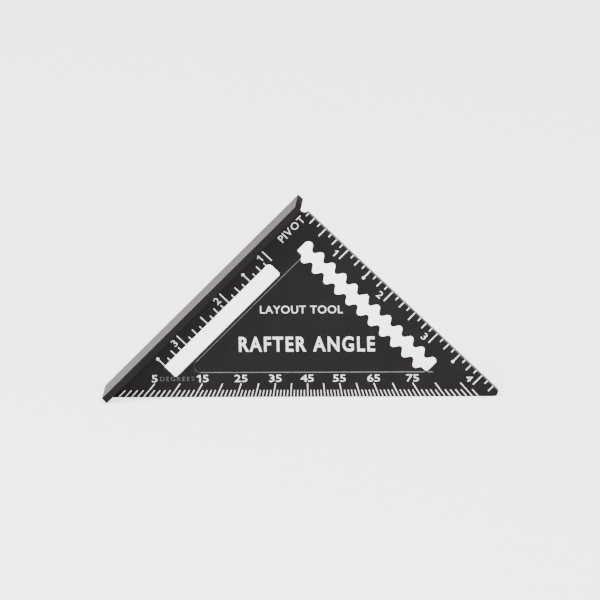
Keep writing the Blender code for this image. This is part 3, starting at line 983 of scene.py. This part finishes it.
def casting():
    """Build the blade, fence and paint, give each its body, and hide the nodes that the blade and fence
    replace.
    """
    pockets, paints = marks()
    blade = blade_casting(pockets)
    dress_blade(blade)
    # Painted highlight on the panel's sloping sides and rounded edges.
    mark_painted_highlight(blade)
    fence = fence_casting()
    dress_fence(fence)
    for piece, node, slot in ((blade, "blade", "black_coat"), (fence, "fence", "fence_metal")):
        smooth(piece)
        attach(piece, BODY)
        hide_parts(node)
    for name, piece in paints.items():
        piece.name = name
        piece.data.materials.clear()
        # The engraved word's grey fill is a painted highlight.
        piece.data.materials.append(DEGREES_WORD_HIGHLIGHT if name == "degrees_word" else WHITE)
        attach(piece, BODY)
    for name, node in frame["nodes"].items():
        if name not in ("blade", "fence"):
            node.data.materials.clear()
            node.data.materials.append(WHITE)


# ---------------------------------------------------------------- stage, light and camera


VIEW_WIDTH = 245.3 * MM  # what the camera takes in at the square
FLOOR_GLOW = 2.1  # seen directly, the floor and sky are brighter than the light that they cast
BACKDROP_STRENGTH = 3.3
SKY_IN_FRONT = 1.9
SKY_BEHIND = 0.3


def floor():
    """A plain pale floor."""
    shape = bmesh.new()
    bmesh.ops.create_grid(shape, x_segments=8, y_segments=8, size=12)
    mesh = bpy.data.meshes.new("floor")
    shape.to_mesh(mesh)
    shape.free()
    piece = mesh_object("floor", mesh)
    made, tree, shader, where = material("pale_floor", Roughness=0.9, Specular_IOR_Level=0.1)
    noise = new_node(tree, "ShaderNodeTexNoise", {"Scale": 3.0, "Detail": 2.0})
    link(tree, where, noise.inputs["Vector"])
    colour = new_node(tree, "ShaderNodeMix", data_type="RGBA")
    colour.inputs["A"].default_value = (0.9, 0.9, 0.9, 1)
    colour.inputs["B"].default_value = (0.93, 0.93, 0.93, 1)
    link(tree, noise.outputs["Fac"], colour.inputs["Factor"])
    link(tree, colour.outputs["Result"], shader.inputs["Base Color"])
    seen = tree.nodes.new("ShaderNodeLightPath").outputs["Is Camera Ray"]
    shader.inputs["Emission Color"].default_value = (1, 1, 1, 1)
    link(tree, math_node(tree, "MULTIPLY", seen, FLOOR_GLOW), shader.inputs["Emission Strength"])
    mesh.materials.append(made)


def area_light(name, power, size, place, aim):
    """A square soft light aimed at a point."""
    lamp = bpy.data.lights.new(name, "AREA")
    lamp.energy = power
    lamp.size = size
    made = bpy.data.objects.new(name, lamp)
    bpy.context.scene.collection.objects.link(made)
    made.location = place
    made.rotation_euler = (Vector(aim) - Vector(place)).to_track_quat("-Z", "Y").to_euler()


def lights():
    """A pale studio, dimmer behind the square, with a key light on the left and a fill on the right."""
    world = bpy.data.worlds.new("studio")
    world.use_nodes = True
    tree = world.node_tree
    sky = tree.nodes["Background"]
    sky.inputs["Color"].default_value = (1, 1, 1, 1)
    parts = tree.nodes.new("ShaderNodeSeparateXYZ")
    link(tree, tree.nodes.new("ShaderNodeTexCoord").outputs["Generated"], parts.inputs[0])
    cast = new_node(
        tree,
        "ShaderNodeMapRange",
        {"From Min": -0.3, "From Max": 0.5, "To Min": SKY_IN_FRONT, "To Max": SKY_BEHIND},
    )
    link(tree, parts.outputs["Y"], cast.inputs["Value"])
    strength = new_node(tree, "ShaderNodeMix", {"B": BACKDROP_STRENGTH})
    link(tree, tree.nodes.new("ShaderNodeLightPath").outputs["Is Camera Ray"], strength.inputs["Factor"])
    link(tree, cast.outputs["Result"], strength.inputs["A"])
    link(tree, strength.outputs["Result"], sky.inputs["Strength"])
    bpy.context.scene.world = world
    area_light("key", 40.0, 0.9, (-0.9, -0.6, 1.3), (0, 0, 0.04))
    area_light("fill", 18.0, 1.2, (1.0, -1.4, 0.9), (0, 0, 0.04))


def camera():
    """A long lens from just right of square-on and a little above, tipped by a degree or so."""
    azimuth, elevation, roll = math.radians(4.0), math.radians(16.5), math.radians(-1.35)
    distance = 5.0
    aside, below = -1.4 * MM, -37.65 * MM
    back = Vector(
        (
            math.sin(azimuth) * math.cos(elevation),
            -math.cos(azimuth) * math.cos(elevation),
            math.sin(elevation),
        )
    )
    level = Vector((math.cos(azimuth), math.sin(azimuth), 0))
    upright = back.cross(level)
    right = level * math.cos(roll) + upright * math.sin(roll)
    up = upright * math.cos(roll) - level * math.sin(roll)
    target = SQUARE @ Vector((0, 0, FACE))
    data = bpy.data.cameras.new("camera")
    data.sensor_width = 36.0
    data.lens = data.sensor_width * distance / VIEW_WIDTH
    data.clip_end = 100.0
    made = bpy.data.objects.new("camera", data)
    bpy.context.scene.collection.objects.link(made)
    turned = Matrix((right, up, back)).transposed().to_4x4()
    made.matrix_world = Matrix.Translation(target + right * aside + up * below + back * distance) @ turned
    bpy.context.scene.camera = made


camera()
casting()
floor()
lights()
